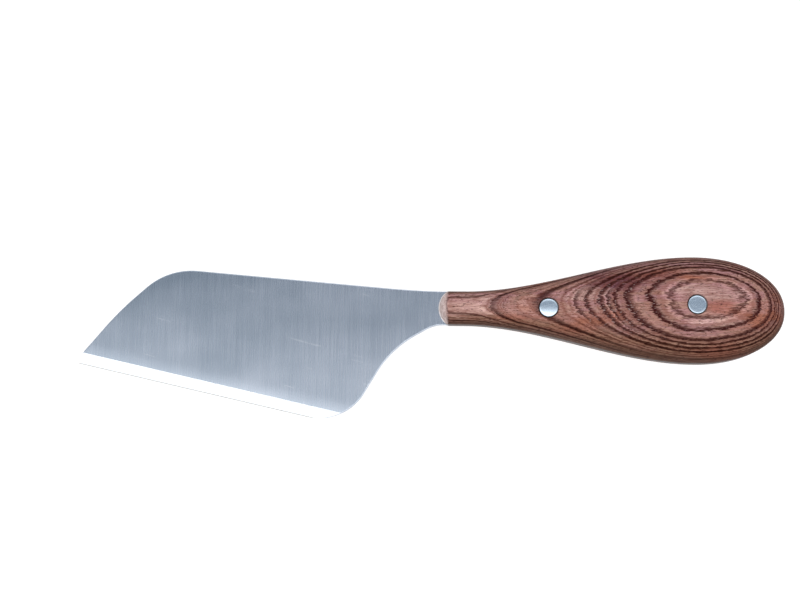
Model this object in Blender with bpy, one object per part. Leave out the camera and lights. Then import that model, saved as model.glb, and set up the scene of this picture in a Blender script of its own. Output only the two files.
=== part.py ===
"""Offset cheese knife: a full-tang steel blade, two wooden scales and two compression rivets.

The knife lies flat. The blade is parallel to XY, its nose points to -X, the handle's butt to +X,
the spine faces +Y and the cutting edge -Y. Every outline is written in the knife's own
coordinates: the origin is where the wood's front crosses the handle's axis, in the blade's
middle plane. One empty then carries all the pieces to the shared frame, whose origin is the
centre of the bounding box's bottom.
"""
import math

import bmesh
import bpy
from mathutils import Vector

MM = 0.001

# Blade: one flat blank, ground to an edge along its lower side
STEEL_THICKNESS = 2.0 * MM
BEVEL_WIDTH = 3.7 * MM
EDGE_THICKNESS = 0.25 * MM

# Handle outline: parallel neck, swell, belly and a butt that is a little squarer than an ellipse
NECK_HALF_WIDTH = 5.55 * MM
NECK_LENGTH = 8.5 * MM
BELLY_X = 84.5 * MM
BELLY_HALF_WIDTH = 17.8 * MM
BUTT_LENGTH = 29.85 * MM
BUTT_POWER = 2.1

# Handle section
NECK_HALF_THICKNESS = 5.5 * MM
BELLY_HALF_THICKNESS = 10.0 * MM
SECTION_POWER = 2.3
FRONT_RADIUS = 7.0 * MM
FRONT_DEPTH = 3.2 * MM

# Compression rivets: a tube half from the left, a pin half from the right
RIVETS = {
    "front": Vector((35.6 * MM, -0.5 * MM)),
    "rear": Vector((83.8 * MM, 0.55 * MM)),
}
HEAD_RADIUS = 3.0 * MM
HEAD_THICKNESS = 1.6 * MM
TUBE_RADIUS = 2.1 * MM
TUBE_BORE_RADIUS = 1.4 * MM
PIN_RADIUS = 1.1 * MM
TUBE_END_CLEARANCE = 0.8 * MM
PIN_END_CLEARANCE = 0.6 * MM

# Room that glue or a press fit fills on the real knife
FIT_GAP = 0.3 * MM

# How finely curves are cut into straight pieces
ARC_STEP = math.radians(5.0)
SECTION_STEPS = 28
ROUNDING_STEPS = 5
SWELL_STEPS = 16
BUTT_STEPS = 11
RIVET_SEGMENTS = 36
HEAD_RINGS = 3

STEEL_HALF = STEEL_THICKNESS / 2
WOOD_BASE = STEEL_HALF + FIT_GAP

# Corners of the blade's outline from the neck round the nose and back, with the radius of each
BLADE_CORNERS = (
    (NECK_LENGTH, NECK_HALF_WIDTH, 0.0),
    (-4.7 * MM, NECK_HALF_WIDTH, 300.0 * MM),  # spine starts to rise
    (-90.4 * MM, 12.65 * MM, 22.0 * MM),       # top of the nose
    (-106.2 * MM, -1.8 * MM, 100.0 * MM),      # slanted front
    (-117.6 * MM, -15.8 * MM, 6.0 * MM),       # nose, just above the bevel
    (-119.2 * MM, -19.5 * MM, 0.0),            # nose point, on the cutting edge
    (-31.0 * MM, -39.2 * MM, 17.1 * MM),       # heel
    (-15.9 * MM, -13.9 * MM, 34.0 * MM),       # hollow behind the heel
    (-1.6 * MM, -NECK_HALF_WIDTH, 12.0 * MM),  # underside of the neck
    (NECK_LENGTH, -NECK_HALF_WIDTH, 0.0),
)
EDGE_START = Vector(BLADE_CORNERS[5][:2])
EDGE_END = Vector(BLADE_CORNERS[6][:2])


def smoothstep(value):
    """Blend from 0 to 1 with no slope at either end."""
    t = min(max(value, 0.0), 1.0)
    return t * t * (3.0 - 2.0 * t)


def mix(low, high, blend):
    """Go from low to high as blend goes from 0 to 1."""
    return low + (high - low) * blend


def half_width(x):
    """Half of the handle's width at x."""
    if x <= BELLY_X:
        blend = smoothstep((x - NECK_LENGTH) / (BELLY_X - NECK_LENGTH))
        return mix(NECK_HALF_WIDTH, BELLY_HALF_WIDTH, blend)
    along = min((x - BELLY_X) / BUTT_LENGTH, 1.0)
    return BELLY_HALF_WIDTH * (1.0 - along ** BUTT_POWER) ** (1.0 / BUTT_POWER)


def half_thickness(x):
    """Half of the handle's thickness along its axis at x."""
    return mix(NECK_HALF_THICKNESS, BELLY_HALF_THICKNESS, smoothstep(x / BELLY_X))


def front_setback(y):
    """How far the wood's bowed front has fallen back at y from its foremost point."""
    return FRONT_RADIUS - math.sqrt(FRONT_RADIUS ** 2 - y * y)


def wood_height(x, y):
    """Height of the wood's surface above the blade's middle plane."""
    if x <= BELLY_X:
        outward = abs(y) / half_width(x)
    else:
        along = (x - BELLY_X) / BUTT_LENGTH
        across = abs(y) / BELLY_HALF_WIDTH
        outward = (along ** BUTT_POWER + across ** BUTT_POWER) ** (1.0 / BUTT_POWER)
    crown = max(0.0, 1.0 - outward ** SECTION_POWER) ** (1.0 / SECTION_POWER)
    if x < FRONT_DEPTH:
        setback = front_setback(y)
        risen = max(0.0, x - setback) / (FRONT_DEPTH - setback)
        crown *= math.sqrt(1.0 - (1.0 - risen) ** 2)
    return WOOD_BASE + (half_thickness(x) - WOOD_BASE) * crown


def rounded_path(corners):
    """Points along straight lines through the corners, with an arc at each corner of some radius."""
    path = []
    for index, (x, y, radius) in enumerate(corners):
        corner = Vector((x, y))
        if radius == 0.0:
            path.append(corner)
            continue
        back = (Vector(corners[index - 1][:2]) - corner).normalized()
        ahead = (Vector(corners[index + 1][:2]) - corner).normalized()
        half_turn = (math.pi - back.angle(ahead)) / 2
        centre = corner + (back + ahead).normalized() * (radius / math.cos(half_turn))
        start = corner + back * (radius * math.tan(half_turn)) - centre
        side = 1.0 if back.cross(ahead) < 0.0 else -1.0
        steps = max(4, math.ceil(2 * half_turn / ARC_STEP))
        for step in range(steps + 1):
            angle = side * 2 * half_turn * step / steps
            turned = Vector((
                start.x * math.cos(angle) - start.y * math.sin(angle),
                start.x * math.sin(angle) + start.y * math.cos(angle),
            ))
            path.append(centre + turned)
    return path


def handle_stations():
    """Places along the handle's axis where its outline is sampled, neck to butt."""
    swell = [mix(NECK_LENGTH, BELLY_X, step / SWELL_STEPS) for step in range(SWELL_STEPS + 1)]
    butt = [
        BELLY_X + BUTT_LENGTH * math.sin(math.pi / 2 * step / BUTT_STEPS) ** (2.0 / BUTT_POWER)
        for step in range(1, BUTT_STEPS + 1)
    ]
    return swell + butt


def steel_outline():
    """The whole blank: blade and tang, counterclockwise seen from above."""
    stations = handle_stations()[1:]
    upper = [Vector((x, half_width(x))) for x in reversed(stations[:-1])]
    lower = [Vector((x, -half_width(x))) for x in stations]
    return upper + rounded_path(BLADE_CORNERS) + lower


def above_edge(point):
    """Distance from the straight line of the cutting edge."""
    along = (EDGE_END - EDGE_START).normalized()
    return along.cross(Vector(point[:2]) - EDGE_START)


def steel_half_at(point):
    """Half of the steel's thickness: full on the flats, thinner down the bevel."""
    ground = min(max(0.0, above_edge(point) / BEVEL_WIDTH), 1.0)
    return mix(EDGE_THICKNESS / 2, STEEL_HALF, ground)


def principled(name, color, roughness, metallic):
    """A plain material."""
    material = bpy.data.materials.new(name)
    material.use_nodes = True
    shader = material.node_tree.nodes["Principled BSDF"]
    shader.inputs["Base Color"].default_value = (*color, 1.0)
    shader.inputs["Roughness"].default_value = roughness
    shader.inputs["Metallic"].default_value = metallic
    material.diffuse_color = (*color, 1.0)
    return material


def blade_steel():
    """Vertically brushed stainless steel."""
    return principled("blade_steel", (0.44, 0.49, 0.54), 0.34, 1.0)


def handle_wood():
    """Oiled reddish-brown hardwood with a dry, low sheen."""
    return principled("handle_wood", (0.32, 0.18, 0.15), 0.55, 0.0)


def rivet_metal():
    """Bright ground aluminium."""
    return principled("rivet_metal", (0.80, 0.81, 0.83), 0.25, 1.0)


def add_object(name, mesh_data, material, parent, location=(0.0, 0.0, 0.0)):
    """Turn a bmesh into a named object in the scene."""
    bmesh.ops.recalc_face_normals(mesh_data, faces=mesh_data.faces)
    mesh = bpy.data.meshes.new(name)
    mesh_data.to_mesh(mesh)
    mesh_data.free()
    mesh.shade_smooth()
    mesh.set_sharp_from_angle(angle=math.radians(32.0))
    if material is not None:
        mesh.materials.append(material)
    made = bpy.data.objects.new(name, mesh)
    made.location = location
    made.parent = parent
    bpy.context.scene.collection.objects.link(made)
    return made


def cut(target, cutter):
    """Subtract a cutter from a target and keep the cutter out of sight."""
    modifier = target.modifiers.new("cut_" + cutter.name, "BOOLEAN")
    modifier.operation = "DIFFERENCE"
    modifier.solver = "EXACT"
    modifier.object = cutter
    cutter.hide_render = True
    cutter.hide_set(True)
    cutter.display_type = "WIRE"


def turned_solid(profile):
    """Revolve (radius, height) pairs about Z. A height may be a function of the point (x, y)."""
    solid = bmesh.new()
    rings = []
    for radius, height in profile:
        count = RIVET_SEGMENTS if radius > 0.0 else 1
        ring = []
        for segment in range(count):
            angle = 2 * math.pi * segment / RIVET_SEGMENTS
            x, y = radius * math.cos(angle), radius * math.sin(angle)
            z = height(x, y) if callable(height) else height
            ring.append(solid.verts.new((x, y, z)))
        rings.append(ring)
    for near, far in zip(rings, rings[1:]):
        for segment in range(RIVET_SEGMENTS):
            after = (segment + 1) % RIVET_SEGMENTS
            corners = (
                near[segment % len(near)], near[after % len(near)],
                far[after % len(far)], far[segment % len(far)],
            )
            solid.faces.new(tuple(dict.fromkeys(corners)))
    return solid


def make_blade(parent, material):
    """The blank with its two bevels, from the nose to the end of the tang."""
    solid = bmesh.new()
    solid.faces.new([solid.verts.new((point.x, point.y, 0.0)) for point in steel_outline()])
    along = (EDGE_END - EDGE_START).normalized()
    inward = Vector((-along.y, along.x, 0.0))
    bmesh.ops.bisect_plane(
        solid,
        geom=solid.verts[:] + solid.edges[:] + solid.faces[:],
        plane_co=EDGE_START.to_3d() + inward * BEVEL_WIDTH,
        plane_no=inward,
    )
    border = [edge for edge in solid.edges if edge.is_boundary]
    lower = {vertex: solid.verts.new(vertex.co) for vertex in solid.verts[:]}
    for face in solid.faces[:]:
        solid.faces.new([lower[vertex] for vertex in reversed(face.verts)])
    for edge in border:
        first, second = edge.verts
        solid.faces.new((first, lower[first], lower[second], second))
    for upper_vertex, lower_vertex in lower.items():
        upper_vertex.co.z = steel_half_at(upper_vertex.co)
        lower_vertex.co.z = -steel_half_at(lower_vertex.co)
    return add_object("blade_with_tang", solid, material, parent)


def scale_surface_rows():
    """Rows of points over one scale, from its bowed front to the last row before the butt's tip."""
    sweep = [math.sin(math.pi * (step / SECTION_STEPS - 0.5)) for step in range(SECTION_STEPS + 1)]
    rows = []
    for step in range(ROUNDING_STEPS):
        rise = 1.0 - math.cos(math.pi / 2 * step / ROUNDING_STEPS)
        across = [NECK_HALF_WIDTH * share for share in sweep]
        rows.append([(mix(front_setback(y), FRONT_DEPTH, rise), y) for y in across])
    for x in [FRONT_DEPTH, (FRONT_DEPTH + NECK_LENGTH) / 2] + handle_stations()[:-1]:
        rows.append([(x, half_width(x) * share) for share in sweep])
    return [[Vector((x, y, wood_height(x, y))) for x, y in row] for row in rows]


def make_scale(name, side, parent, material):
    """One wooden scale: side is 1 for the left one, above the tang, and -1 for the right one."""
    solid = bmesh.new()
    rows = [
        [solid.verts.new((point.x, point.y, side * point.z)) for point in row]
        for row in scale_surface_rows()
    ]
    tip = solid.verts.new((BELLY_X + BUTT_LENGTH, 0.0, side * WOOD_BASE))
    for near, far in zip(rows, rows[1:]):
        for step in range(SECTION_STEPS):
            solid.faces.new((near[step], far[step], far[step + 1], near[step + 1]))
    for step in range(SECTION_STEPS):
        solid.faces.new((rows[-1][step], tip, rows[-1][step + 1]))
    low_side = [row[0] for row in rows[1:]]
    high_side = [row[-1] for row in rows[1:]]
    solid.faces.new(rows[0][::-1] + low_side + [tip] + high_side[::-1])
    return add_object(name, solid, material, parent)


def seat_height(rivet):
    """Height of the counterbore's floor above the blade's middle plane."""
    return wood_height(rivet.x, rivet.y) - HEAD_THICKNESS - FIT_GAP


def make_scale_cutter(name, rivet, side, parent):
    """The stepped hole for one rivet in one scale."""
    hole = TUBE_RADIUS + FIT_GAP
    counterbore = HEAD_RADIUS + FIT_GAP
    seat = side * seat_height(rivet)
    outside = side * (BELLY_HALF_THICKNESS + 2 * HEAD_THICKNESS)
    profile = ((0.0, 0.0), (hole, 0.0), (hole, seat), (counterbore, seat),
               (counterbore, outside), (0.0, outside))
    return add_object(name, turned_solid(profile), None, parent, rivet.to_3d())


def make_tang_cutter(name, rivet, parent):
    """The round hole for one rivet through the tang."""
    hole = TUBE_RADIUS + FIT_GAP
    profile = ((0.0, -STEEL_THICKNESS), (hole, -STEEL_THICKNESS),
               (hole, STEEL_THICKNESS), (0.0, STEEL_THICKNESS))
    return add_object(name, turned_solid(profile), None, parent, rivet.to_3d())


def head_profile(rivet, side):
    """The head's outer face, ground flush with the wood, then its rim and its underside."""
    def flush(x, y):
        return side * wood_height(rivet.x + x, rivet.y + y)
    face = [(HEAD_RADIUS * ring / HEAD_RINGS, flush) for ring in range(HEAD_RINGS + 1)]
    return face + [(HEAD_RADIUS, side * (seat_height(rivet) + FIT_GAP))]


def make_tube_rivet(name, rivet, parent, material):
    """The tube half: a head on the left scale and a bored shank that reaches the right one."""
    underside = seat_height(rivet) + FIT_GAP
    shank_end = -(seat_height(rivet) - TUBE_END_CLEARANCE)
    profile = head_profile(rivet, 1) + [
        (TUBE_RADIUS, underside), (TUBE_RADIUS, shank_end),
        (TUBE_BORE_RADIUS, shank_end), (TUBE_BORE_RADIUS, underside), (0.0, underside),
    ]
    return add_object(name, turned_solid(profile), material, parent, rivet.to_3d())


def make_pin_rivet(name, rivet, parent, material):
    """The pin half: a head on the right scale and a pin inside the tube half's bore."""
    underside = seat_height(rivet) + FIT_GAP
    pin_end = underside - PIN_END_CLEARANCE
    profile = head_profile(rivet, -1) + [
        (PIN_RADIUS, -underside), (PIN_RADIUS, pin_end), (0.0, pin_end),
    ]
    return add_object(name, turned_solid(profile), material, parent, rivet.to_3d())


def frame_offset():
    """Where the knife's own origin lies in the shared frame."""
    outline = steel_outline()
    xs = [point.x for point in outline]
    ys = [point.y for point in outline]
    return (-(min(xs) + max(xs)) / 2, -(min(ys) + max(ys)) / 2, BELLY_HALF_THICKNESS)


def main():
    """Build every piece."""
    for leftover in list(bpy.data.objects):
        bpy.data.objects.remove(leftover, do_unlink=True)

    knife = bpy.data.objects.new("cheese_knife", None)
    knife.location = frame_offset()
    bpy.context.scene.collection.objects.link(knife)

    blade = make_blade(knife, blade_steel())
    wood = handle_wood()
    scales = {
        1: make_scale("left_scale", 1, knife, wood),
        -1: make_scale("right_scale", -1, knife, wood),
    }
    metal = rivet_metal()
    for place, rivet in RIVETS.items():
        cut(blade, make_tang_cutter(place + "_tang_hole", rivet, knife))
        for side, scale in scales.items():
            cutter_name = f"{place}_hole_in_{scale.name}"
            cut(scale, make_scale_cutter(cutter_name, rivet, side, knife))
        make_tube_rivet(place + "_rivet_tube", rivet, knife, metal)
        make_pin_rivet(place + "_rivet_pin", rivet, knife, metal)


main()
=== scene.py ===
"""Looks of the offset cheese knife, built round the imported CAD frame.

Every outline is written in the knife's own coordinates: the origin is where the wood's front
crosses the handle's axis, in the blade's middle plane, with +X towards the butt, +Y towards the
spine and +Z out of the left side. KNIFE_ORIGIN says where that point lies in the frame.
"""
import math

import bmesh
import bpy
from mathutils import Matrix, Vector


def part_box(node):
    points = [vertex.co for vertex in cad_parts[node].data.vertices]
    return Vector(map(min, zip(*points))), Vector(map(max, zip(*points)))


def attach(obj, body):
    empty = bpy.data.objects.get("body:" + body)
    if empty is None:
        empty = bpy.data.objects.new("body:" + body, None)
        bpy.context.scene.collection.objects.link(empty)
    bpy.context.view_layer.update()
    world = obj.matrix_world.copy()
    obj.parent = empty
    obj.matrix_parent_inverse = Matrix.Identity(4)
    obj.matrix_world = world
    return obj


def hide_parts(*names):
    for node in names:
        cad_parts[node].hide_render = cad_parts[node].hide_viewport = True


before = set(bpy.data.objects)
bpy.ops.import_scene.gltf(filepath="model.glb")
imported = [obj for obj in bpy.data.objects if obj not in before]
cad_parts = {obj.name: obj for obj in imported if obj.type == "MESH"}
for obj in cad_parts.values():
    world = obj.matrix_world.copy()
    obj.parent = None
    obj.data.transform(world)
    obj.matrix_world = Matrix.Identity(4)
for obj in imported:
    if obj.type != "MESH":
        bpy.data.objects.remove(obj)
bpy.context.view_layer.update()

MM = 0.001
PER_MM = 1000.0

# Sizes read from the frame
STEEL_LOW, STEEL_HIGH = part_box("blade_with_tang")
WOOD_LOW, WOOD_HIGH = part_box("left_scale")
KNIFE_ORIGIN = Vector((
    WOOD_LOW.x, (WOOD_LOW.y + WOOD_HIGH.y) / 2, (STEEL_LOW.z + STEEL_HIGH.z) / 2,
))
STEEL_HALF = (STEEL_HIGH.z - STEEL_LOW.z) / 2
WOOD_BASE = WOOD_LOW.z - KNIFE_ORIGIN.z
BELLY_HALF_THICKNESS = WOOD_HIGH.z - KNIFE_ORIGIN.z
BELLY_HALF_WIDTH = (WOOD_HIGH.y - WOOD_LOW.y) / 2
HANDLE_LENGTH = WOOD_HIGH.x - WOOD_LOW.x

# Handle outline and section, as the CAD draws them
NECK_HALF_WIDTH = 5.55 * MM
NECK_HALF_THICKNESS = 5.5 * MM
NECK_LENGTH = 8.5 * MM
BUTT_LENGTH = 29.85 * MM
BELLY_X = HANDLE_LENGTH - BUTT_LENGTH
BUTT_POWER = 2.1
SECTION_POWER = 2.3
FRONT_RADIUS = 7.0 * MM
FRONT_DEPTH = 3.2 * MM

# Blade outline: corners from the neck round the nose and back, with the radius of each
BLADE_CORNERS = (
    (NECK_LENGTH, NECK_HALF_WIDTH, 0.0),
    (-4.7 * MM, NECK_HALF_WIDTH, 300.0 * MM),
    (-90.4 * MM, 12.65 * MM, 22.0 * MM),
    (-106.2 * MM, -1.8 * MM, 100.0 * MM),
    (-117.6 * MM, -15.8 * MM, 6.0 * MM),
    (-119.2 * MM, -19.5 * MM, 0.0),
    (-31.0 * MM, -39.2 * MM, 17.1 * MM),
    (-15.9 * MM, -13.9 * MM, 34.0 * MM),
    (-1.6 * MM, -NECK_HALF_WIDTH, 12.0 * MM),
    (NECK_LENGTH, -NECK_HALF_WIDTH, 0.0),
)

# Cutting edge: a bevel with a soft shoulder above it and a thin dark line along its lower side
EDGE_START = Vector(BLADE_CORNERS[5][:2])
EDGE_END = Vector(BLADE_CORNERS[6][:2])
BEVEL_WIDTH = 3.7 * MM
SHOULDER_BLEND = 4.0 * MM
SHOULDER_DROP = 0.05 * MM
DARK_EDGE_LINE_WIDTH = 0.22 * MM
CUTTING_EDGE_HALF = 0.05 * MM

# Radius of the steel's rims: where they show, where they are flush with the wood, the length
# over which one becomes the other, and the most of the steel's half thickness they may take
EASED_EDGE = 0.28 * MM
FLUSH_EDGE = 0.06 * MM
EASING_FADE = 4.0 * MM
MOST_EASING = 0.8

# Rivets
HEAD_RADIUS = 3.0 * MM
HEAD_CHAMFER = 0.18 * MM
HOLE_RADIUS = 3.2 * MM
HOLE_DEPTH = 1.5 * MM
SHANK_DEPTH = 0.9 * HOLE_DEPTH

# Glue between the tang and each scale
GLUE_RECESS = 0.05 * MM
GLUE_BEAD = 0.30 * MM
GLUE_CLEARANCE = 0.02 * MM

# Floor: the plane just under the handle's belly and the blade's nose
FLOOR_LEAN = 0.046
BELLY_TOUCH_X = 69.8 * MM
BELLY_TOUCH_Z = 0.16 * MM
FLOOR_HALF = 3.0

# Camera: its framing suits an image of 800 by 600
CAMERA_DISTANCE = 450.0 * MM
CAMERA_TILT = math.radians(10.0)
CAMERA_ROLL = math.radians(0.55)
CAMERA_TARGET = Vector((-13.15 * MM, 2.78 * MM, 0.0))
PIXELS_PER_METRE = 3000.0
IMAGE_WIDTH = 800
SENSOR_WIDTH = 36.0

# Smoothness of the finished meshes
ARC_STEP = math.radians(1.5)
SECTION_STEPS = 96
NECK_STEPS = 5
SWELL_STEPS = 70
BUTT_STEPS = 40
FRONT_STEPS = 12
FRONT_LINE_STEPS = 48
RIM_STEPS = 4
SHOULDER_STEPS = 4
RIVET_SEGMENTS = 96
HEAD_RINGS = 6
CHAMFER_STEPS = 4
MOST_RIM_CORNERS = 12


def smoothstep(value):
    """Blend from 0 to 1 with no slope at either end."""
    t = min(max(value, 0.0), 1.0)
    return t * t * (3.0 - 2.0 * t)


def mix(low, high, blend):
    """Go from low to high as blend goes from 0 to 1."""
    return low + (high - low) * blend


# Shapes -------------------------------------------------------------------------------------

def half_width(x):
    """Half of the handle's width at x."""
    if x <= BELLY_X:
        blend = smoothstep((x - NECK_LENGTH) / (BELLY_X - NECK_LENGTH))
        return mix(NECK_HALF_WIDTH, BELLY_HALF_WIDTH, blend)
    along = min((x - BELLY_X) / BUTT_LENGTH, 1.0)
    return BELLY_HALF_WIDTH * (1.0 - along ** BUTT_POWER) ** (1.0 / BUTT_POWER)


def half_thickness(x):
    """Half of the handle's thickness along its axis at x."""
    return mix(NECK_HALF_THICKNESS, BELLY_HALF_THICKNESS, smoothstep(x / BELLY_X))


def front_setback(y):
    """How far the wood's bowed front has fallen back at y from its foremost point."""
    return FRONT_RADIUS - math.sqrt(FRONT_RADIUS ** 2 - y * y)


def wood_height(x, y):
    """Height of the wood's surface above the blade's middle plane."""
    if x <= BELLY_X:
        outward = abs(y) / half_width(x)
    else:
        along = (x - BELLY_X) / BUTT_LENGTH
        across = abs(y) / BELLY_HALF_WIDTH
        outward = (along ** BUTT_POWER + across ** BUTT_POWER) ** (1.0 / BUTT_POWER)
    crown = max(0.0, 1.0 - outward ** SECTION_POWER) ** (1.0 / SECTION_POWER)
    if x < FRONT_DEPTH:
        setback = front_setback(y)
        risen = max(0.0, x - setback) / (FRONT_DEPTH - setback)
        crown *= math.sqrt(max(0.0, 1.0 - (1.0 - risen) ** 2))
    return WOOD_BASE + (half_thickness(x) - WOOD_BASE) * crown


def rounded_path(corners):
    """Points along straight lines through the corners, with an arc at each that has a radius."""
    path = []
    for index, (x, y, radius) in enumerate(corners):
        corner = Vector((x, y))
        if radius == 0.0:
            path.append(corner)
            continue
        back = (Vector(corners[index - 1][:2]) - corner).normalized()
        ahead = (Vector(corners[index + 1][:2]) - corner).normalized()
        half_turn = (math.pi - back.angle(ahead)) / 2
        centre = corner + (back + ahead).normalized() * (radius / math.cos(half_turn))
        start = corner + back * (radius * math.tan(half_turn)) - centre
        side = 1.0 if back.cross(ahead) < 0.0 else -1.0
        steps = max(6, math.ceil(2 * half_turn / ARC_STEP))
        for step in range(steps + 1):
            turned = Matrix.Rotation(side * 2 * half_turn * step / steps, 2) @ start
            path.append(centre + turned)
    return path


def handle_stations():
    """Places along the handle's axis where its outline is sampled, neck to butt."""
    swell = [mix(NECK_LENGTH, BELLY_X, step / SWELL_STEPS) for step in range(SWELL_STEPS + 1)]
    butt = [
        BELLY_X + BUTT_LENGTH * math.sin(math.pi / 2 * step / BUTT_STEPS) ** (2.0 / BUTT_POWER)
        for step in range(1, BUTT_STEPS + 1)
    ]
    return swell + butt


def steel_outline():
    """The whole blank: blade and tang, counterclockwise seen from above."""
    stations = handle_stations()[1:]
    upper = [Vector((x, half_width(x))) for x in reversed(stations[:-1])]
    lower = [Vector((x, -half_width(x))) for x in stations]
    return upper + rounded_path(BLADE_CORNERS) + lower


def steel_half_at(point):
    """Half of the steel's thickness: full on the flats, thinner down the bevel."""
    along = (EDGE_END - EDGE_START).normalized()
    away = along.cross(Vector(point[:2]) - EDGE_START)
    shoulder = STEEL_HALF - SHOULDER_DROP
    if away < BEVEL_WIDTH:
        return mix(CUTTING_EDGE_HALF, shoulder, max(0.0, away / BEVEL_WIDTH))
    flat = min((away - BEVEL_WIDTH) / SHOULDER_BLEND, 1.0)
    return mix(STEEL_HALF, shoulder, (1.0 - flat) ** 2)


# Meshes -------------------------------------------------------------------------------------

def finish_piece(name, solid, material, replaced=(), sharp_angle=30.0):
    """Turn a bmesh in the knife's coordinates into a piece of the scene."""
    bmesh.ops.recalc_face_normals(solid, faces=solid.faces)
    solid.transform(Matrix.Translation(KNIFE_ORIGIN))
    mesh = bpy.data.meshes.new(name)
    solid.to_mesh(mesh)
    solid.free()
    mesh.shade_smooth()
    mesh.set_sharp_from_angle(angle=math.radians(sharp_angle))
    mesh.materials.append(material)
    piece = bpy.data.objects.new(name, mesh)
    bpy.context.scene.collection.objects.link(piece)
    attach(piece, "root")
    if replaced:
        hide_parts(*replaced)
    return piece


def inward_normals(outline):
    """Unit vectors that point into a counterclockwise outline, one for each of its points."""
    normals = []
    for index, point in enumerate(outline):
        before = (point - outline[index - 1]).normalized()
        after = (outline[(index + 1) % len(outline)] - point).normalized()
        along = (before + after).normalized()
        normals.append(Vector((-along.y, along.x)))
    return normals


def edge_easing(point):
    """Radius of the rounded rim at a point of the outline, almost none under the wood."""
    shown = smoothstep((front_setback(NECK_HALF_WIDTH) - point.x) / EASING_FADE)
    rim = mix(FLUSH_EDGE, EASED_EDGE, shown)
    return min(rim, steel_half_at(point) * MOST_EASING)


def make_blade(material):
    """Blade and tang with eased rims and a two-sided bevel."""
    outline = steel_outline()
    normals = inward_normals(outline)
    rings = []
    for step in range(RIM_STEPS + 1):
        turn = math.pi / 2 * step / RIM_STEPS
        ring = []
        for point, inward in zip(outline, normals):
            easing = edge_easing(point)
            inner = point + inward * easing
            place = point + inward * (easing * (1.0 - math.cos(turn)))
            height = steel_half_at(inner) - easing * (1.0 - math.sin(turn))
            ring.append((place.x, place.y, height))
        rings.append(ring)
    solid = bmesh.new()
    upper = [[solid.verts.new(point) for point in ring] for ring in rings]
    lower = [[solid.verts.new((x, y, -z)) for x, y, z in ring] for ring in rings]
    bands = lower[::-1] + upper
    for near, far in zip(bands, bands[1:]):
        for index in range(len(outline)):
            after = (index + 1) % len(outline)
            solid.faces.new((near[index], near[after], far[after], far[index]))
    solid.faces.new(upper[-1])
    solid.faces.new(lower[-1][::-1])
    for step in range(SHOULDER_STEPS + 1):
        split_along_edge(solid, BEVEL_WIDTH + SHOULDER_BLEND * step / SHOULDER_STEPS)
    return finish_piece(
        "knife_blade", solid, material, ["blade_with_tang"], sharp_angle=4.0,
    )


def split_along_edge(solid, away):
    """Cut both flats along a line parallel to the cutting edge and set the cut's height."""
    along = (EDGE_END - EDGE_START).normalized()
    inward = Vector((-along.y, along.x, 0.0))
    flats = [face for face in solid.faces if len(face.verts) > MOST_RIM_CORNERS]
    edges = {edge for face in flats for edge in face.edges}
    corners = {vertex for face in flats for vertex in face.verts}
    made = bmesh.ops.bisect_plane(
        solid,
        geom=[*corners, *edges, *flats],
        plane_co=EDGE_START.to_3d() + inward * away,
        plane_no=inward,
    )
    for vertex in made["geom_cut"]:
        if isinstance(vertex, bmesh.types.BMVert):
            vertex.co.z = math.copysign(steel_half_at(vertex.co), vertex.co.z)


def scale_rows():
    """Rows of points over one scale, from its bowed front to the last row before the butt's tip."""
    sweep = [math.sin(math.pi * (step / SECTION_STEPS - 0.5)) for step in range(SECTION_STEPS + 1)]
    rows = []
    for step in range(FRONT_STEPS):
        rise = 1.0 - math.cos(math.pi / 2 * step / FRONT_STEPS)
        across = [NECK_HALF_WIDTH * share for share in sweep]
        rows.append([(mix(front_setback(y), FRONT_DEPTH, rise), y) for y in across])
    neck = [mix(FRONT_DEPTH, NECK_LENGTH, step / NECK_STEPS) for step in range(NECK_STEPS)]
    for x in neck + handle_stations()[:-1]:
        rows.append([(x, half_width(x) * share) for share in sweep])
    return rows


def make_scale(name, side, replaced, material):
    """One wooden scale with a round pocket at each rivet."""
    solid = bmesh.new()
    rows = [
        [solid.verts.new((x, y, side * wood_height(x, y))) for x, y in row]
        for row in scale_rows()
    ]
    tip = solid.verts.new((HANDLE_LENGTH, 0.0, side * WOOD_BASE))
    for near, far in zip(rows, rows[1:]):
        for step in range(SECTION_STEPS):
            solid.faces.new((near[step], far[step], far[step + 1], near[step + 1]))
    for step in range(SECTION_STEPS):
        solid.faces.new((rows[-1][step], tip, rows[-1][step + 1]))
    low_side = [row[0] for row in rows[1:]]
    high_side = [row[-1] for row in rows[1:]]
    solid.faces.new(rows[0][::-1] + low_side + [tip] + high_side[::-1])
    piece = finish_piece(name, solid, material, [replaced], sharp_angle=40.0)
    for place, rivet in RIVETS.items():
        cut_pocket(piece, place, rivet, side)
    return piece


def cut_pocket(piece, place, rivet, side):
    """Sink a round pocket into the wood for one rivet head."""
    cutter = bmesh.new()
    bmesh.ops.create_cone(
        cutter, cap_ends=True, segments=RIVET_SEGMENTS,
        radius1=HOLE_RADIUS, radius2=HOLE_RADIUS, depth=4 * HOLE_DEPTH,
    )
    middle = side * (wood_height(rivet.x, rivet.y) + HOLE_DEPTH)
    cutter.transform(Matrix.Translation(KNIFE_ORIGIN + Vector((rivet.x, rivet.y, middle))))
    mesh = bpy.data.meshes.new(f"{place}_pocket")
    cutter.to_mesh(mesh)
    cutter.free()
    tool = bpy.data.objects.new(f"{place}_pocket", mesh)
    bpy.context.scene.collection.objects.link(tool)
    modifier = piece.modifiers.new(f"{place}_pocket", "BOOLEAN")
    modifier.operation = "DIFFERENCE"
    modifier.solver = "EXACT"
    modifier.object = tool
    evaluated = piece.evaluated_get(bpy.context.evaluated_depsgraph_get())
    cut_mesh = bpy.data.meshes.new_from_object(evaluated)
    piece.modifiers.clear()
    piece.data = cut_mesh
    bpy.data.objects.remove(tool)


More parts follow.
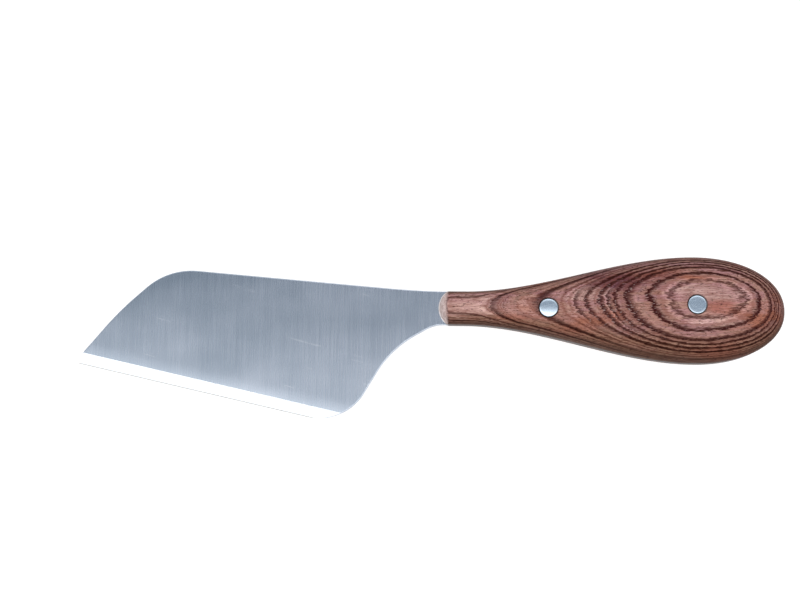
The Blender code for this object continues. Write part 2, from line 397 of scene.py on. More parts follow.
def head_profile():
    """Radius and depth along a rivet head, from its middle over the chamfer and under it."""
    flat_radius = HEAD_RADIUS - HEAD_CHAMFER
    profile = [(flat_radius * ring / HEAD_RINGS, 0.0) for ring in range(HEAD_RINGS + 1)]
    for step in range(1, CHAMFER_STEPS + 1):
        turn = math.pi / 2 * step / CHAMFER_STEPS
        radius = HEAD_RADIUS - HEAD_CHAMFER * (1.0 - math.sin(turn))
        profile.append((radius, HEAD_CHAMFER * (1.0 - math.cos(turn))))
    return profile + [(HEAD_RADIUS, SHANK_DEPTH), (0.0, SHANK_DEPTH)]


def make_rivet(place, half, side, material):
    """One rivet head, ground flush with the curved wood, and a short shank below it."""
    rivet = RIVETS[place]
    solid = bmesh.new()
    rings = []
    for radius, depth in head_profile():
        ring = []
        for segment in range(RIVET_SEGMENTS if radius > 0.0 else 1):
            angle = 2 * math.pi * segment / RIVET_SEGMENTS
            x, y = rivet.x + radius * math.cos(angle), rivet.y + radius * math.sin(angle)
            ring.append(solid.verts.new((x, y, side * (wood_height(x, y) - depth))))
        rings.append(ring)
    for near, far in zip(rings, rings[1:]):
        for segment in range(RIVET_SEGMENTS):
            after = (segment + 1) % RIVET_SEGMENTS
            corners = (
                near[segment % len(near)], near[after % len(near)],
                far[after % len(far)], far[segment % len(far)],
            )
            solid.faces.new(tuple(dict.fromkeys(corners)))
    name = f"{place}_rivet_head_{half}"
    replaced = [f"{place}_rivet_{half}"]
    return finish_piece(name, solid, material, replaced, sharp_angle=35.0)


def make_glue_line(name, side, material):
    """The hardened glue between the tang and one scale, with a fine bead along the wood's front."""
    front = []
    for step in range(FRONT_LINE_STEPS + 1):
        y = mix(NECK_HALF_WIDTH, -NECK_HALF_WIDTH, step / FRONT_LINE_STEPS)
        front.append(Vector((front_setback(y) - GLUE_BEAD, y)))
    stations = handle_stations()
    upper = [Vector((x, half_width(x) - GLUE_RECESS)) for x in reversed(stations[:-1])]
    lower = [Vector((x, GLUE_RECESS - half_width(x))) for x in stations]
    outline = upper + front + lower
    low = side * (STEEL_HALF - GLUE_CLEARANCE)
    high = side * (WOOD_BASE + GLUE_CLEARANCE)
    solid = bmesh.new()
    bottom = [solid.verts.new((point.x, point.y, low)) for point in outline]
    top = [solid.verts.new((point.x, point.y, high)) for point in outline]
    for index in range(len(outline)):
        after = (index + 1) % len(outline)
        solid.faces.new((bottom[index], bottom[after], top[after], top[index]))
    solid.faces.new(top)
    solid.faces.new(bottom[::-1])
    return finish_piece(name, solid, material, sharp_angle=40.0)


# Materials ----------------------------------------------------------------------------------

class Graph:
    """Short calls that build a node tree."""

    def __init__(self, tree):
        self.tree = tree

    def node(self, kind, **settings):
        """Add a node."""
        made = self.tree.nodes.new(kind)
        for key, value in settings.items():
            setattr(made, key, value)
        return made

    def feed(self, value, socket):
        """Link a socket or set a constant."""
        if isinstance(value, bpy.types.NodeSocket):
            self.tree.links.new(value, socket)
            return
        if socket.type == "RGBA" and len(value) == 3:
            value = (*value, 1.0)
        socket.default_value = value

    def math(self, operation, *values, clamp=False):
        """A Math node's output."""
        made = self.node("ShaderNodeMath", operation=operation, use_clamp=clamp)
        for value, socket in zip(values, made.inputs):
            self.feed(value, socket)
        return made.outputs[0]

    def vector(self, operation, first, second):
        """A Vector Math node's vector."""
        made = self.node("ShaderNodeVectorMath", operation=operation)
        self.feed(first, made.inputs[0])
        self.feed(second, made.inputs[1])
        return made.outputs[0]

    def dot(self, first, second):
        """The dot product of two vectors."""
        made = self.node("ShaderNodeVectorMath", operation="DOT_PRODUCT")
        self.feed(first, made.inputs[0])
        self.feed(second, made.inputs[1])
        return made.outputs["Value"]

    def split(self, vector):
        """X, Y and Z of a vector."""
        made = self.node("ShaderNodeSeparateXYZ")
        self.feed(vector, made.inputs[0])
        return made.outputs[0], made.outputs[1], made.outputs[2]

    def combine(self, x, y, z):
        """A vector or a colour from three values."""
        made = self.node("ShaderNodeCombineXYZ")
        for value, socket in zip((x, y, z), made.inputs):
            self.feed(value, socket)
        return made.outputs[0]

    def noise(self, place, stretch, detail=2.0, roughness=0.5, offset=(0.0, 0.0, 0.0)):
        """Noise from 0 to 1. Stretch gives the size of its features along X, Y and Z, in mm."""
        scale = tuple(1.0 / size for size in stretch)
        moved = self.vector("ADD", self.vector("MULTIPLY", place, scale), offset)
        made = self.node("ShaderNodeTexNoise", noise_dimensions="3D")
        self.feed(moved, made.inputs["Vector"])
        made.inputs["Scale"].default_value = 1.0
        made.inputs["Detail"].default_value = detail
        made.inputs["Roughness"].default_value = roughness
        return made.outputs["Fac"]

    def centred(self, value, amount):
        """A 0 to 1 value turned into one from -amount to amount."""
        return self.math("MULTIPLY", self.math("SUBTRACT", value, 0.5), 2.0 * amount)

    def remap(self, value, low, high, to_low=0.0, to_high=1.0, smooth=False):
        """A clamped Map Range."""
        made = self.node("ShaderNodeMapRange", clamp=True)
        made.interpolation_type = "SMOOTHSTEP" if smooth else "LINEAR"
        for fed, socket in zip((value, low, high, to_low, to_high), made.inputs):
            self.feed(fed, socket)
        return made.outputs[0]

    def ramp(self, value, stops):
        """A Color Ramp. Each stop is a position and a colour or a grey level."""
        made = self.node("ShaderNodeValToRGB")
        elements = made.color_ramp.elements
        while len(elements) < len(stops):
            elements.new(0.5)
        for element, (position, colour) in zip(elements, stops):
            element.position = position
            shade = (colour,) * 3 if isinstance(colour, float) else colour
            element.color = (*shade, 1.0)
        self.feed(value, made.inputs[0])
        return made.outputs[0]

    def blend(self, amount, first, second, mode="MIX"):
        """Mix two colours."""
        made = self.node("ShaderNodeMix", data_type="RGBA", blend_type=mode)
        self.feed(amount, made.inputs[0])
        self.feed(first, made.inputs[6])
        self.feed(second, made.inputs[7])
        return made.outputs[2]


class Surface(Graph):
    """The node tree of one material with a Principled shader."""

    def __init__(self, name):
        self.material = bpy.data.materials.new(name)
        self.material.use_nodes = True
        super().__init__(self.material.node_tree)
        self.shader = self.tree.nodes["Principled BSDF"]

    def knife_mm(self):
        """The shaded point in the knife's coordinates, in millimetres."""
        world = self.node("ShaderNodeTexCoord").outputs["Object"]
        local = self.vector("SUBTRACT", world, tuple(KNIFE_ORIGIN))
        return self.vector("MULTIPLY", local, (PER_MM, PER_MM, PER_MM))

    def facing(self):
        """X, Y and Z of the surface's normal."""
        return self.split(self.node("ShaderNodeNewGeometry").outputs["Normal"])

    def bump(self, height, distance):
        """Normals from a height of 0 to 1 that stands for a distance in metres."""
        made = self.node("ShaderNodeBump")
        made.inputs["Strength"].default_value = 1.0
        made.inputs["Distance"].default_value = distance
        self.feed(height, made.inputs["Height"])
        return made.outputs["Normal"]

    def set(self, **values):
        """Set or link the shader's sockets, named with underscores for spaces."""
        for key, value in values.items():
            self.feed(value, self.shader.inputs[key.replace("_", " ")])
        return self.material


# Wood

# Growth rings: level of the ring's dark line in mm, its width in mm and its darkness. Where the
# crown cuts the layers nearly flat, a thin ring shows wide. Where the flanks cut them steeply,
# it takes a wider one, and close neighbours show as one line.
CROWN_RINGS = (
    (-2.3, 0.10, 0.6), (-1.6, 0.12, 0.8), (-0.9, 0.08, 0.6), (-0.2, 0.12, 0.9),
    (0.3, 0.06, 0.6), (0.95, 0.12, 0.9), (1.55, 0.06, 0.6), (2.15, 0.08, 0.8),
    (3.20, 0.14, 0.9), (3.80, 0.05, 0.4), (4.4, 0.07, 0.4), (5.13, 0.17, 1.0),
    (5.66, 0.05, 0.6), (6.15, 0.05, 0.2), (6.55, 0.09, 0.95), (6.78, 0.04, 0.3),
    (7.00, 0.08, 1.0), (7.26, 0.04, 0.3), (7.54, 0.10, 1.0), (7.85, 0.09, 1.0),
    (8.12, 0.08, 1.0), (8.34, 0.04, 0.3), (8.54, 0.12, 1.0), (8.95, 0.04, 0.4),
    (9.24, 0.10, 1.0), (9.74, 0.05, 0.85),
)
FLANK_RINGS = (
    (-2.3, 0.10, 0.6), (-1.6, 0.15, 0.8), (-0.9, 0.08, 0.6), (-0.2, 0.19, 0.95),
    (0.3, 0.08, 0.6), (0.95, 0.19, 0.95), (1.55, 0.08, 0.6), (2.15, 0.15, 0.8),
    (3.20, 0.24, 1.0), (3.80, 0.08, 0.5), (4.4, 0.11, 0.6), (5.06, 0.30, 1.0),
    (5.90, 0.16, 0.6), (6.40, 0.12, 0.6), (6.93, 0.26, 1.0), (7.28, 0.05, 0.4),
    (7.56, 0.22, 1.0), (7.84, 0.05, 0.4), (8.10, 0.20, 1.0), (8.34, 0.04, 0.3),
    (8.56, 0.20, 1.0), (8.95, 0.05, 0.5), (9.24, 0.15, 1.0), (9.74, 0.06, 0.9),
)
# How many of its widths a ring takes to fade out towards the heart
CROWN_FADE = 2.6
FLANK_FADE = 1.4
# A Color Ramp is sampled coarsely, so each holds only a few rings
RINGS_PER_RAMP = 7

# Patches on the wood, real colour and painted sheen: middle along X and Y in mm, reach along X and
# Y in mm, strength
DARK_STAINS = (
    ((58.0, 8.5), (15.0, 5.0), 0.85),
    ((70.0, 10.5), (12.0, 3.0), 0.50),
    ((19.0, 1.0), (6.0, 3.0), 0.45),
    ((33.4, 2.8), (2.1, 3.8), 0.55),
)
RED_STREAKS = (
    ((91.0, 0.5), (8.0, 3.2), 0.60),
    ((24.0, -3.5), (9.0, 1.6), 0.35),
    ((92.0, -15.0), (14.0, 3.0), 0.40),
    ((44.0, -7.5), (9.0, 2.4), 0.35),
)
# Painted highlights of the wood's sheen: along the handle's middle from the neck to the front
# rivet, and on the belly's crown above and below the rear rivet
PAINTED_SHEEN_PATCHES = (
    ((8.0, 0.0), (20.0, 4.6), 0.55),
    ((90.0, -5.0), (13.0, 2.6), 0.40),
    ((88.0, 3.8), (10.0, 3.0), 0.55),
    ((30.0, -0.5), (9.0, 3.6), 0.30),
)

# The wood's colours
WOOD_TONES = (
    (0.32, (0.430, 0.175, 0.115)), (0.42, (0.495, 0.260, 0.228)),
    (0.50, (0.480, 0.285, 0.230)), (0.58, (0.490, 0.265, 0.270)),
    (0.68, (0.590, 0.380, 0.340)),
)
# Painted shade: the darker brown that the lower flank turns to, where it faces away from the light
LOWER_FLANK_PAINTED_SHADE = (0.330, 0.185, 0.115)
STAINED = (0.108, 0.034, 0.060)
REDDENED = (0.470, 0.130, 0.085)
# Painted highlight: the pale colour of the wood's sheen
PAINTED_SHEEN = (0.740, 0.500, 0.450)
FINE_BANDS = (0.152, 0.046, 0.032)
DARK_FIBRE = (0.175, 0.058, 0.042)
CROWN_RING = (0.028, 0.002, 0.003)
FLANK_RING = (0.020, 0.002, 0.001)
RING_SPECKS = (0.43, 0.31, 0.29)
OPEN_PORE = (0.045, 0.014, 0.012)
LONG_PORE = (0.060, 0.018, 0.010)
RIVET_GRIME = (0.020, 0.012, 0.012)
# End grain, its paleness partly a painted highlight on the wood's rounded front
END_GRAIN_AND_SHEEN = ((0.35, (0.44, 0.33, 0.31)), (0.65, (0.68, 0.56, 0.54)))
END_PORE = (0.150, 0.075, 0.060)

# Growth layers, in mm. From the belly towards the neck the level falls with the distance squared,
# eased by its cube, as far as DOME_LENGTH, and then evenly for about NECK_REACH more. Towards the
# butt and the sides it rises with the distance squared.
DOME_LENGTH = 58.6
DOME_SQUARED = -0.0016
DOME_CUBED = 0.0000182
NECK_REACH = 12.0
NECK_SMOOTHING = 5.0
NECK_FALL = -0.10
BUTT_CLIMB = 0.0026
SIDE_CLIMB = 0.003


def growth_level(graph, place, lean, shift):
    """Height within the plank's domed growth layers, in mm. Each ring is one level of it."""
    x, y, z = graph.split(place)
    run = graph.math("SUBTRACT", x, BELLY_X / MM)
    to_butt = graph.math("MAXIMUM", run, 0.0)
    to_neck = graph.math("MAXIMUM", graph.math("MULTIPLY", run, -1.0), 0.0)
    dome = graph.math("MINIMUM", to_neck, DOME_LENGTH)
    beyond = graph.math("SUBTRACT", to_neck, dome)
    beyond = graph.math("SMOOTH_MIN", beyond, NECK_REACH, NECK_SMOOTHING)
    sink = graph.math("MULTIPLY_ADD", dome, DOME_CUBED, DOME_SQUARED)
    sink = graph.math("MULTIPLY", sink, graph.math("MULTIPLY", dome, dome))
    sink = graph.math("MULTIPLY_ADD", beyond, NECK_FALL, sink)
    climb = graph.math("MULTIPLY", graph.math("MULTIPLY", to_butt, to_butt), BUTT_CLIMB)
    level = graph.math("ADD", graph.math("ABSOLUTE", z), shift)
    level = graph.math("MULTIPLY_ADD", y, lean, level)
    level = graph.math("MULTIPLY_ADD", graph.math("MULTIPLY", y, y), SIDE_CLIMB, level)
    level = graph.math("ADD", level, graph.math("ADD", sink, climb))
    slow = graph.noise(place, (26.0, 12.0, 12.0), 2.0)
    fibre = graph.noise(place, (9.0, 1.5, 1.5), 2.0, 0.6, (3.1, 0.0, 0.0))
    hair = graph.noise(place, (2.2, 0.32, 0.32), 1.0, 0.6, (0.0, 7.7, 0.0))
    level = graph.math("ADD", level, graph.centred(slow, 0.20))
    level = graph.math("ADD", level, graph.centred(fibre, 0.14))
    return graph.math("ADD", level, graph.centred(hair, 0.17))


def ring_stops(rings, fade, low, high):
    """Color Ramp stops for a few rings, each sharp towards the bark, faded towards the heart."""
    stops = []
    for level, width, strength in rings:
        profile = ((-0.8, 0.0), (-0.2, strength), (0.8, 0.9 * strength), (fade, 0.0))
        for way, shade in profile:
            stops.append(((level + way * width - low) / (high - low), shade))
    return sorted(stops)


def ring_darkness(graph, level, rings, fade):
    """How dark the growth rings make a level."""
    darkness = 0.0
    for first in range(0, len(rings), RINGS_PER_RAMP):
        group = rings[first:first + RINGS_PER_RAMP]
        low, high = group[0][0] - 0.5, group[-1][0] + 0.8
        shade = graph.ramp(graph.remap(level, low, high), ring_stops(group, fade, low, high))
        darkness = graph.math("MAXIMUM", shade, darkness)
    return darkness


def patches(graph, place, spots):
    """Where a few ragged patches lie: each fades outward and breaks up along the grain."""
    ragged = graph.centred(graph.noise(place, (7.0, 1.2, 1.2), 3.0, 0.65, (0.0, 5.0, 2.0)), 0.60)
    stain = 0.0
    for middle, half, strength in spots:
        away = graph.vector("SUBTRACT", place, (*middle, 0.0))
        x, y, _ = graph.split(graph.vector("DIVIDE", away, (*half, 1.0)))
        reach = graph.math("ADD", graph.math("MULTIPLY", x, x), graph.math("MULTIPLY", y, y))
        reach = graph.math("ADD", graph.math("SQRT", reach), ragged)
        spot = graph.remap(reach, 0.25, 1.05, strength, 0.0, smooth=True)
        stain = graph.math("MAXIMUM", spot, stain)
    return stain


def bare_wood(graph, place, level, facing_y, fibre):
    """Colour of the wood between its dark rings: tone, painted shade on the lower flank, stains,
    painted sheen, fine bands and fibre.
    """
    tone = graph.noise(place, (28.0, 6.0, 6.0), 3.0, 0.55, (1.7, 0.0, 0.0))
    colour = graph.ramp(tone, WOOD_TONES)
    # Painted shade: the flank that faces the cutting edge's side turns darker brown
    lower = graph.remap(facing_y, -0.50, -0.12, 0.75, 0.0, smooth=True)
    colour = graph.blend(lower, colour, LOWER_FLANK_PAINTED_SHADE)
    colour = graph.blend(patches(graph, place, DARK_STAINS), colour, STAINED)
    colour = graph.blend(patches(graph, place, RED_STREAKS), colour, REDDENED)
    # Painted highlights of the sheen
    colour = graph.blend(patches(graph, place, PAINTED_SHEEN_PATCHES), colour, PAINTED_SHEEN)
    layers = graph.combine(graph.math("MULTIPLY", level, 30.0), 0.0, 0.0)
    bands = graph.noise(layers, (8.0, 1.0, 1.0), 3.0, 0.7)
    colour = graph.blend(graph.remap(bands, 0.40, 0.60, 0.0, 0.75), colour, FINE_BANDS)
    return graph.blend(graph.remap(fibre, 0.44, 0.66, 0.0, 0.6), colour, DARK_FIBRE)


def add_rings(graph, place, level, steep, colour):
    """Draw the dark rings, broken up along the grain and speckled on the crown."""
    x, _, _ = graph.split(place)
    crown = ring_darkness(graph, level, CROWN_RINGS, CROWN_FADE)
    crown = graph.math("MULTIPLY", crown, graph.remap(x, 34.0, 54.0, 0.82, 1.0))
    crown = graph.math("MULTIPLY", crown, graph.math("SUBTRACT", 1.0, steep))
    rim = graph.remap(level, 5.6, 6.8, 0.55, 0.0)
    rim = graph.math("MULTIPLY", rim, graph.remap(x, 50.0, 70.0))
    flank = graph.math("MULTIPLY", steep, graph.math("SUBTRACT", 1.0, rim))
    flank_rings = ring_darkness(graph, level, FLANK_RINGS, FLANK_FADE)
    dark = graph.math("MULTIPLY_ADD", flank_rings, flank, crown)
    streaks = graph.noise(place, (1.5, 0.32, 0.32), 1.0, 0.6, (4.0, 4.0, 0.0))
    broken = graph.remap(streaks, 0.34, 0.48, 0.80, 1.0)
    ring_colour = graph.blend(steep, CROWN_RING, FLANK_RING)
    colour = graph.blend(graph.math("MULTIPLY", dark, broken), colour, ring_colour)
    specks = graph.noise(place, (0.9, 0.32, 0.32), 0.0, 0.5, (6.0, 2.0, 3.0))
    speck = graph.math("MULTIPLY", graph.remap(specks, 0.64, 0.74), crown)
    speck = graph.math("MULTIPLY", speck, graph.remap(x, 42.0, 52.0, 0.2, 0.8))
    speck = graph.math("MULTIPLY", speck, graph.remap(x, 66.0, 76.0, 0.8, 0.25))
    return graph.blend(speck, colour, RING_SPECKS)


def add_pores(graph, place, pore, steep, colour):
    """Draw the open pores, which the flanks cut lengthwise into dashes."""
    colour = graph.blend(graph.math("MULTIPLY", pore, 0.8), colour, OPEN_PORE)
    dashes = graph.noise(place, (4.0, 0.38, 0.38), 1.0, 0.5, (9.0, 0.0, 4.0))
    dash = graph.math("MULTIPLY", graph.remap(dashes, 0.56, 0.68, 0.0, 0.6), steep)
    return graph.blend(dash, colour, LONG_PORE)


def add_painted_flank_shade_and_grime(graph, place, facing_y, facing_z, colour):
    """Darken the flanks with painted shade, more below than above, and darken the joint round each
    rivet.
    """
    x, _, _ = graph.split(place)
    # Painted shade: faces that turn sideways get darker, the lower flank most and more so towards
    # the butt
    below = graph.remap(x, 45.0, 65.0, 0.44, 0.36)
    flank_shade_level = graph.remap(facing_y, -0.45, 0.45, below, 0.54)
    sides = graph.remap(graph.math("ABSOLUTE", facing_z), 0.60, 0.97, flank_shade_level, 1.0)
    colour = graph.blend(1.0, colour, graph.combine(sides, sides, sides), "MULTIPLY")
    return graph.blend(rivet_grime(graph, place), colour, RIVET_GRIME)


def rivet_grime(graph, place):
    """Where dark polishing dust fills the joint round each rivet head."""
    x, y, _ = graph.split(place)
    grime = 0.0
    for rivet in RIVETS.values():
        along = graph.math("SUBTRACT", x, rivet.x / MM)
        across = graph.math("SUBTRACT", y, rivet.y / MM)
        away = graph.math("MULTIPLY", along, along)
        away = graph.math("SQRT", graph.math("MULTIPLY_ADD", across, across, away))
        grime = graph.math("MAXIMUM", graph.remap(away, 3.25, 3.55, 0.9, 0.0), grime)
    return grime


def add_end_grain_and_sheen(graph, place, facing_x, colour):
    """Pale end grain with dark pricks where the wood's front is cut across, its paleness partly a
    painted highlight on that rounded front.
    """
    # Paler the more the surface faces the blade: end grain and painted highlight together
    end_grain_and_sheen_mask = graph.remap(facing_x, -0.80, -0.15, 1.0, 0.0, smooth=True)
    grit = graph.noise(place, (1.2, 0.9, 0.9), 2.0, 0.6)
    pale = graph.ramp(grit, END_GRAIN_AND_SHEEN)
    pricks = graph.noise(place, (0.5, 0.16, 0.16), 1.0, 0.5, (2.0, 6.0, 1.0))
    pale = graph.blend(graph.remap(pricks, 0.56, 0.66, 0.0, 0.55), pale, END_PORE)
    return graph.blend(graph.math("MULTIPLY", end_grain_and_sheen_mask, 0.9), colour, pale)


def wood_material(name, lean, shift):
    """Oiled reddish hardwood, sawn so that its growth layers make ovals on the belly."""
    graph = Surface(name)
    place = graph.knife_mm()
    level = growth_level(graph, place, lean, shift)
    facing_x, facing_y, facing_z = graph.facing()
    steep = graph.remap(graph.math("ABSOLUTE", facing_y), 0.08, 0.40)
    fibre = graph.noise(place, (5.0, 0.45, 0.45), 3.0, 0.65, (0.0, 0.0, 5.0))
    pores = graph.noise(place, (1.0, 0.32, 0.32), 1.0, 0.5, (0.0, 1.0, 8.0))
    pore = graph.remap(pores, 0.62, 0.70)

    colour = bare_wood(graph, place, level, facing_y, fibre)
    colour = add_rings(graph, place, level, steep, colour)
    colour = add_pores(graph, place, pore, steep, colour)
    colour = add_painted_flank_shade_and_grime(graph, place, facing_y, facing_z, colour)
    colour = add_end_grain_and_sheen(graph, place, facing_x, colour)

    relief = graph.math("SUBTRACT", graph.math("MULTIPLY", fibre, 0.5), pore)
    top = graph.remap(level, 9.76, 10.0, 0.0, 0.8, smooth=True)
    polished = graph.math("MULTIPLY", top, graph.remap(fibre, 0.35, 0.60, 1.0, 0.3))
    return graph.set(
        Base_Color=colour, Roughness=graph.remap(fibre, 0.3, 0.7, 0.34, 0.46),
        Normal=graph.bump(relief, 0.03 * MM), Specular_IOR_Level=0.02, IOR=1.5,
        Coat_Weight=polished, Coat_Roughness=0.28, Coat_IOR=1.5,
    )


# Steel, rivets and glue

# Where the tang's duller finish, darkened with painted shade, takes over from the blade's, along X
# in mm
TANG_START = 2.7
TANG_FULL = 3.1

STEEL_TONES = ((0.2, (0.285, 0.335, 0.395)), (0.8, (0.50, 0.54, 0.61)))
GROUND_BEVEL = (0.64, 0.68, 0.73)
DARK_EDGE_LINE = (0.27, 0.27, 0.26)
SCRATCH = (0.80, 0.81, 0.83)
# Sanded tang, its darkness painted shade on the rim that shows between the scales
SANDED_TANG_IN_PAINTED_SHADE = ((0.3, (0.110, 0.104, 0.100)), (0.7, (0.190, 0.184, 0.180)))
RIVET_TONES = ((0.3, (0.42, 0.50, 0.59)), (0.7, (0.50, 0.58, 0.66)))
PALE_GLUE = ((0.35, (0.62, 0.56, 0.54)), (0.65, (0.82, 0.78, 0.77)))
DARK_GLUE = (0.060, 0.030, 0.022)


def steel_tone_and_painted_reflection(graph, place, lines, fine):
    """How bright the brushed flat is, about 0.5: brush lines and cloudy bands, plus painted
    reflection that makes it darker at the nose and the top, brighter at the heel and low down near
    the cutting edge.
    """
    x, y, _ = graph.split(place)
    bands = graph.noise(place, (9.0, 160.0, 160.0), 2.0, 0.5, (0.0, 3.0, 0.0))
    cloud = graph.noise(place, (26.0, 14.0, 14.0), 2.0, 0.5, (0.0, 3.0, 5.0))
    shade = graph.math("ADD", graph.centred(lines, 0.04), graph.centred(fine, 0.05))
    shade = graph.math("ADD", shade, graph.centred(bands, 0.20))
    shade = graph.math("ADD", shade, graph.centred(cloud, 0.28))
    # Painted reflection: darker towards the nose and the top left, brighter towards the heel and
    # near the cutting edge
    shade = graph.math("ADD", shade, graph.remap(x, -105.0, -35.0, -0.19, 0.06))
    shade = graph.math("ADD", shade, graph.remap(x, -30.0, -5.0, 0.0, 0.06))
    shade = graph.math("ADD", shade, graph.remap(y, -32.0, -22.0, 0.10, 0.0))
    rise = graph.remap(y, -18.0, 12.0, 0.14, -0.17)
    shade = graph.math("MULTIPLY_ADD", rise, graph.remap(x, -95.0, -45.0, 1.0, 0.0), shade)
    return graph.math("ADD", shade, 0.5)


def distance_from_edge(graph, place):
    """Distance from the line of the cutting edge towards the spine, in mm."""
    x, y, _ = graph.split(place)
    along = (EDGE_END - EDGE_START).normalized()
    start = EDGE_START / MM
    away = graph.math("MULTIPLY_ADD", x, -along.y, along.y * start.x - along.x * start.y)
    return graph.math("MULTIPLY_ADD", y, along.x, away)


def scratches(graph, place):
    """A few short hair scratches that run close to the cutting edge's direction."""
    x, y, _ = graph.split(place)
    across = graph.math("MULTIPLY_ADD", x, 0.27, y)
    wave = graph.noise(graph.combine(x, across, 0.0), (9.0, 30.0, 1.0), 1.0, 0.5, (5.0, 1.0, 0.0))
    line = graph.noise(graph.combine(x, across, wave), (30.0, 0.45, 1.0), 0.0, 0.5, (1.0, 2.0, 0.0))
    patch = graph.noise(place, (9.0, 7.0, 7.0), 1.0, 0.5, (8.0, 0.0, 0.0))
    return graph.math("MULTIPLY", graph.remap(line, 0.72, 0.80), graph.remap(patch, 0.58, 0.66))


def steel_material():
    """Stainless steel brushed across the blade, with a few stray scratches and a dull tang darkened
    with painted shade.
    """
    graph = Surface("brushed_blade_steel")
    place = graph.knife_mm()
    lines = graph.noise(place, (0.30, 22.0, 22.0), 3.0, 0.6)
    fine = graph.noise(place, (0.12, 5.0, 5.0), 1.0, 0.5, (2.0, 0.0, 0.0))
    colour = graph.ramp(steel_tone_and_painted_reflection(graph, place, lines, fine), STEEL_TONES)

    away = distance_from_edge(graph, place)
    ground = graph.remap(away, BEVEL_WIDTH / MM, BEVEL_WIDTH / MM + 0.1, 1.0, 0.0)
    colour = graph.blend(graph.math("MULTIPLY", ground, 0.8), colour, GROUND_BEVEL)
    # A thin darker line along the cutting edge
    dark_edge_line = graph.remap(away, DARK_EDGE_LINE_WIDTH / MM, DARK_EDGE_LINE_WIDTH / MM + 0.05, 1.0, 0.0)
    colour = graph.blend(dark_edge_line, colour, DARK_EDGE_LINE)

    _, _, facing_z = graph.facing()
    rim = graph.remap(graph.math("ABSOLUTE", facing_z), 0.5, 0.8, 1.0, 0.0)
    faint = graph.math("SUBTRACT", 0.35, rim)
    scratch = graph.math("MULTIPLY", scratches(graph, place), faint, clamp=True)
    colour = graph.blend(scratch, colour, SCRATCH)

    x, _, _ = graph.split(place)
    tang = graph.remap(x, TANG_START, TANG_FULL)
    # Painted shade: the tang's rim between the scales turns dark
    sanding = graph.noise(place, (7.0, 0.14, 0.14), 3.0, 0.65, (0.0, 2.0, 7.0))
    colour = graph.blend(tang, colour, graph.ramp(sanding, SANDED_TANG_IN_PAINTED_SHADE))

    brushed = graph.remap(lines, 0.3, 0.7, 0.22, 0.30)
    rough = graph.math("MAXIMUM", brushed, graph.math("MULTIPLY", tang, 0.6))
    relief = graph.math("MULTIPLY_ADD", lines, 0.7, graph.math("MULTIPLY", fine, 0.3))
    tangent = graph.node("ShaderNodeTangent", direction_type="UV_MAP", uv_map="brush")
    return graph.set(
        Base_Color=colour, Metallic=1.0, Roughness=rough, Anisotropic=0.7,
        Tangent=tangent.outputs[0], Normal=graph.bump(relief, 0.0007 * MM),
    )


def add_brush_map(piece):
    """A UV map whose U runs along X and V along Y, for the direction of the brushing."""
    layer = piece.data.uv_layers.new(name="brush")
    for loop in piece.data.loops:
        place = piece.data.vertices[loop.vertex_index].co
        layer.data[loop.index].uv = (place.x * 10.0, place.y * 10.0)


def rivet_material():
    """Aluminium ground flush with the wood and polished."""
    graph = Surface("ground_rivet_metal")
    lines = graph.noise(graph.knife_mm(), (3.0, 0.12, 0.12), 3.0, 0.6)
    return graph.set(
        Base_Color=graph.ramp(lines, RIVET_TONES), Metallic=1.0,
        Roughness=graph.remap(lines, 0.3, 0.7, 0.19, 0.26),
        Normal=graph.bump(lines, 0.002 * MM),
    )


def glue_material():
    """Hardened glue: a pale bead along the wood's front, dark and thin between wood and tang."""
    graph = Surface("hard_glue")
    place = graph.knife_mm()
    mottle = graph.noise(place, (1.5, 1.5, 1.5), 3.0)
    x, _, _ = graph.split(place)
    colour = graph.blend(graph.remap(x, 1.6, 2.6), graph.ramp(mottle, PALE_GLUE), DARK_GLUE)
    rough = graph.remap(mottle, 0.3, 0.7, 0.25, 0.45)
    return graph.set(Base_Color=colour, Roughness=rough, Normal=graph.bump(mottle, 0.01 * MM))


# Studio -------------------------------------------------------------------------------------

# Brightness of the sky overhead by its angle, towards the spine's side when positive
SKY_PANELS = (
    (-50.0, (0.50, 0.50, 0.50)),
    (-27.0, (0.60, 0.60, 0.60)),
    (-22.0, (2.70, 2.70, 2.70)),
    (-4.0, (2.70, 2.70, 2.70)),
    (3.0, (1.05, 1.08, 1.12)),
    (8.0, (0.50, 0.54, 0.60)),
    (13.0, (0.26, 0.31, 0.37)),
    (18.0, (0.26, 0.31, 0.37)),
    (25.0, (1.90, 1.92, 1.95)),
    (36.0, (1.90, 1.92, 1.95)),
    (42.0, (0.70, 0.70, 0.70)),
)
PANEL_AXIS = (0.19, 0.98, 0.0)
SKY_LOW = (0.80, 0.80, 0.80)
SKY_HORIZON = (1.03, 1.03, 1.03)
# Heights of the sky, as the sine of the elevation, between which one part gives way to the next
HORIZON_TO_LOW = (0.06, 0.34)
LOW_TO_PANELS = (0.40, 0.65)


def make_floor():
    """A plain pale floor, tilted to lie just under the belly and the blade's nose."""
    belly_x = KNIFE_ORIGIN.x + BELLY_TOUCH_X
    corners = [
        (x, y, BELLY_TOUCH_Z - FLOOR_LEAN * (x - belly_x))
        for x, y in (
            (-FLOOR_HALF, -FLOOR_HALF), (FLOOR_HALF, -FLOOR_HALF),
            (FLOOR_HALF, FLOOR_HALF), (-FLOOR_HALF, FLOOR_HALF),
        )
    ]
    mesh = bpy.data.meshes.new("studio_floor")
    mesh.from_pydata(corners, [], [(0, 1, 2, 3)])
    floor = bpy.data.objects.new("studio_floor", mesh)
    bpy.context.scene.collection.objects.link(floor)
    mesh.materials.append(floor_material())


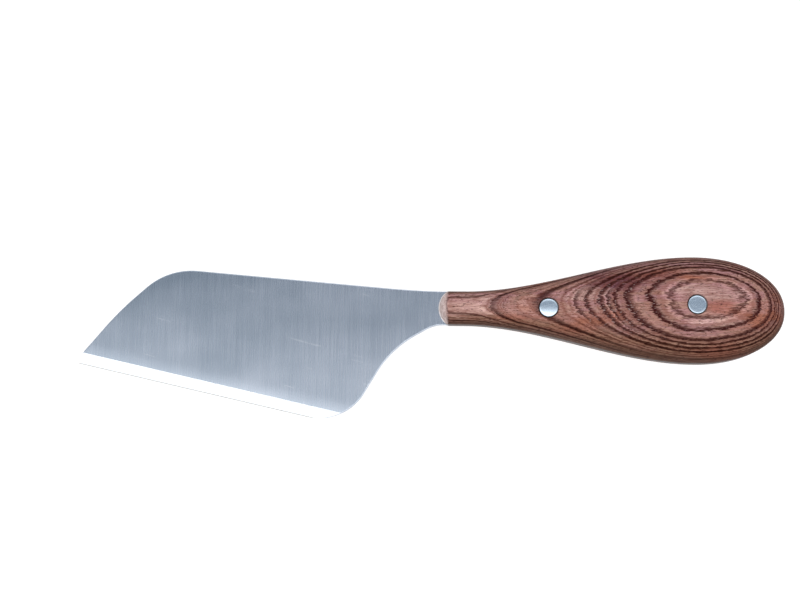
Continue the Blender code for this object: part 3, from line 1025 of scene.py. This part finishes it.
def floor_material():
    """Matt white that glows a little, so that it stays white in the studio's soft light."""
    graph = Surface("studio_white")
    dust = graph.noise(graph.knife_mm(), (40.0, 40.0, 40.0), 2.0)
    colour = graph.ramp(dust, ((0.3, (0.37, 0.37, 0.37)), (0.7, (0.40, 0.40, 0.40))))
    return graph.set(
        Base_Color=colour, Roughness=0.9,
        Emission_Color=(1.0, 1.0, 1.0), Emission_Strength=0.75,
    )


def make_sky():
    """Soft white studio light: two long bright panels overhead with a dim gap between them."""
    world = bpy.data.worlds.new("studio_light")
    world.use_nodes = True
    bpy.context.scene.world = world
    graph = Graph(world.node_tree)
    direction = graph.node("ShaderNodeTexCoord").outputs["Generated"]
    across = graph.math("MULTIPLY_ADD", graph.dot(direction, PANEL_AXIS), 0.5, 0.5)
    panels = graph.ramp(across, [
        (0.5 + 0.5 * math.sin(math.radians(angle)), colour) for angle, colour in SKY_PANELS
    ])
    _, _, height = graph.split(direction)
    low = graph.remap(height, *HORIZON_TO_LOW, smooth=True)
    backdrop = graph.blend(low, SKY_HORIZON, SKY_LOW)
    sky = graph.blend(graph.remap(height, *LOW_TO_PANELS), backdrop, panels)
    graph.feed(sky, world.node_tree.nodes["Background"].inputs["Color"])


def make_camera():
    """Nearly overhead, leaning a little towards the cutting edge."""
    back = Vector((0.0, -math.sin(CAMERA_TILT), math.cos(CAMERA_TILT)))
    right = Vector((1.0, 0.0, 0.0))
    up = back.cross(right)
    rolled_right = right * math.cos(CAMERA_ROLL) + up * math.sin(CAMERA_ROLL)
    rolled_up = up * math.cos(CAMERA_ROLL) - right * math.sin(CAMERA_ROLL)
    turn = Matrix((rolled_right, rolled_up, back)).transposed().to_4x4()
    lens = bpy.data.cameras.new("studio_camera")
    lens.sensor_width = SENSOR_WIDTH
    lens.lens = SENSOR_WIDTH * CAMERA_DISTANCE * PIXELS_PER_METRE / IMAGE_WIDTH
    lens.clip_start = 0.01
    lens.clip_end = 20.0
    camera = bpy.data.objects.new("studio_camera", lens)
    place = KNIFE_ORIGIN + CAMERA_TARGET + back * CAMERA_DISTANCE
    camera.matrix_world = Matrix.Translation(place) @ turn
    bpy.context.scene.collection.objects.link(camera)
    bpy.context.scene.camera = camera


# Build --------------------------------------------------------------------------------------

RIVETS = {}
for rivet_place in ("front", "rear"):
    tube_low, tube_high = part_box(f"{rivet_place}_rivet_tube")
    RIVETS[rivet_place] = ((tube_low + tube_high) / 2 - KNIFE_ORIGIN).to_2d()

make_camera()
make_floor()
make_sky()
blade = make_blade(steel_material())
add_brush_map(blade)
make_scale("left_wood", 1, "left_scale", wood_material("left_wood_grain", 0.035, 0.0))
make_scale("right_wood", -1, "right_scale", wood_material("right_wood_grain", -0.03, 0.21))
glue = glue_material()
make_glue_line("left_glue_line", 1, glue)
make_glue_line("right_glue_line", -1, glue)
rivet_metal = rivet_material()
for rivet_place in RIVETS:
    make_rivet(rivet_place, "tube", 1, rivet_metal)
    make_rivet(rivet_place, "pin", -1, rivet_metal)

bpy.context.scene.view_settings.view_transform = "Standard"
bpy.context.view_layer.update()
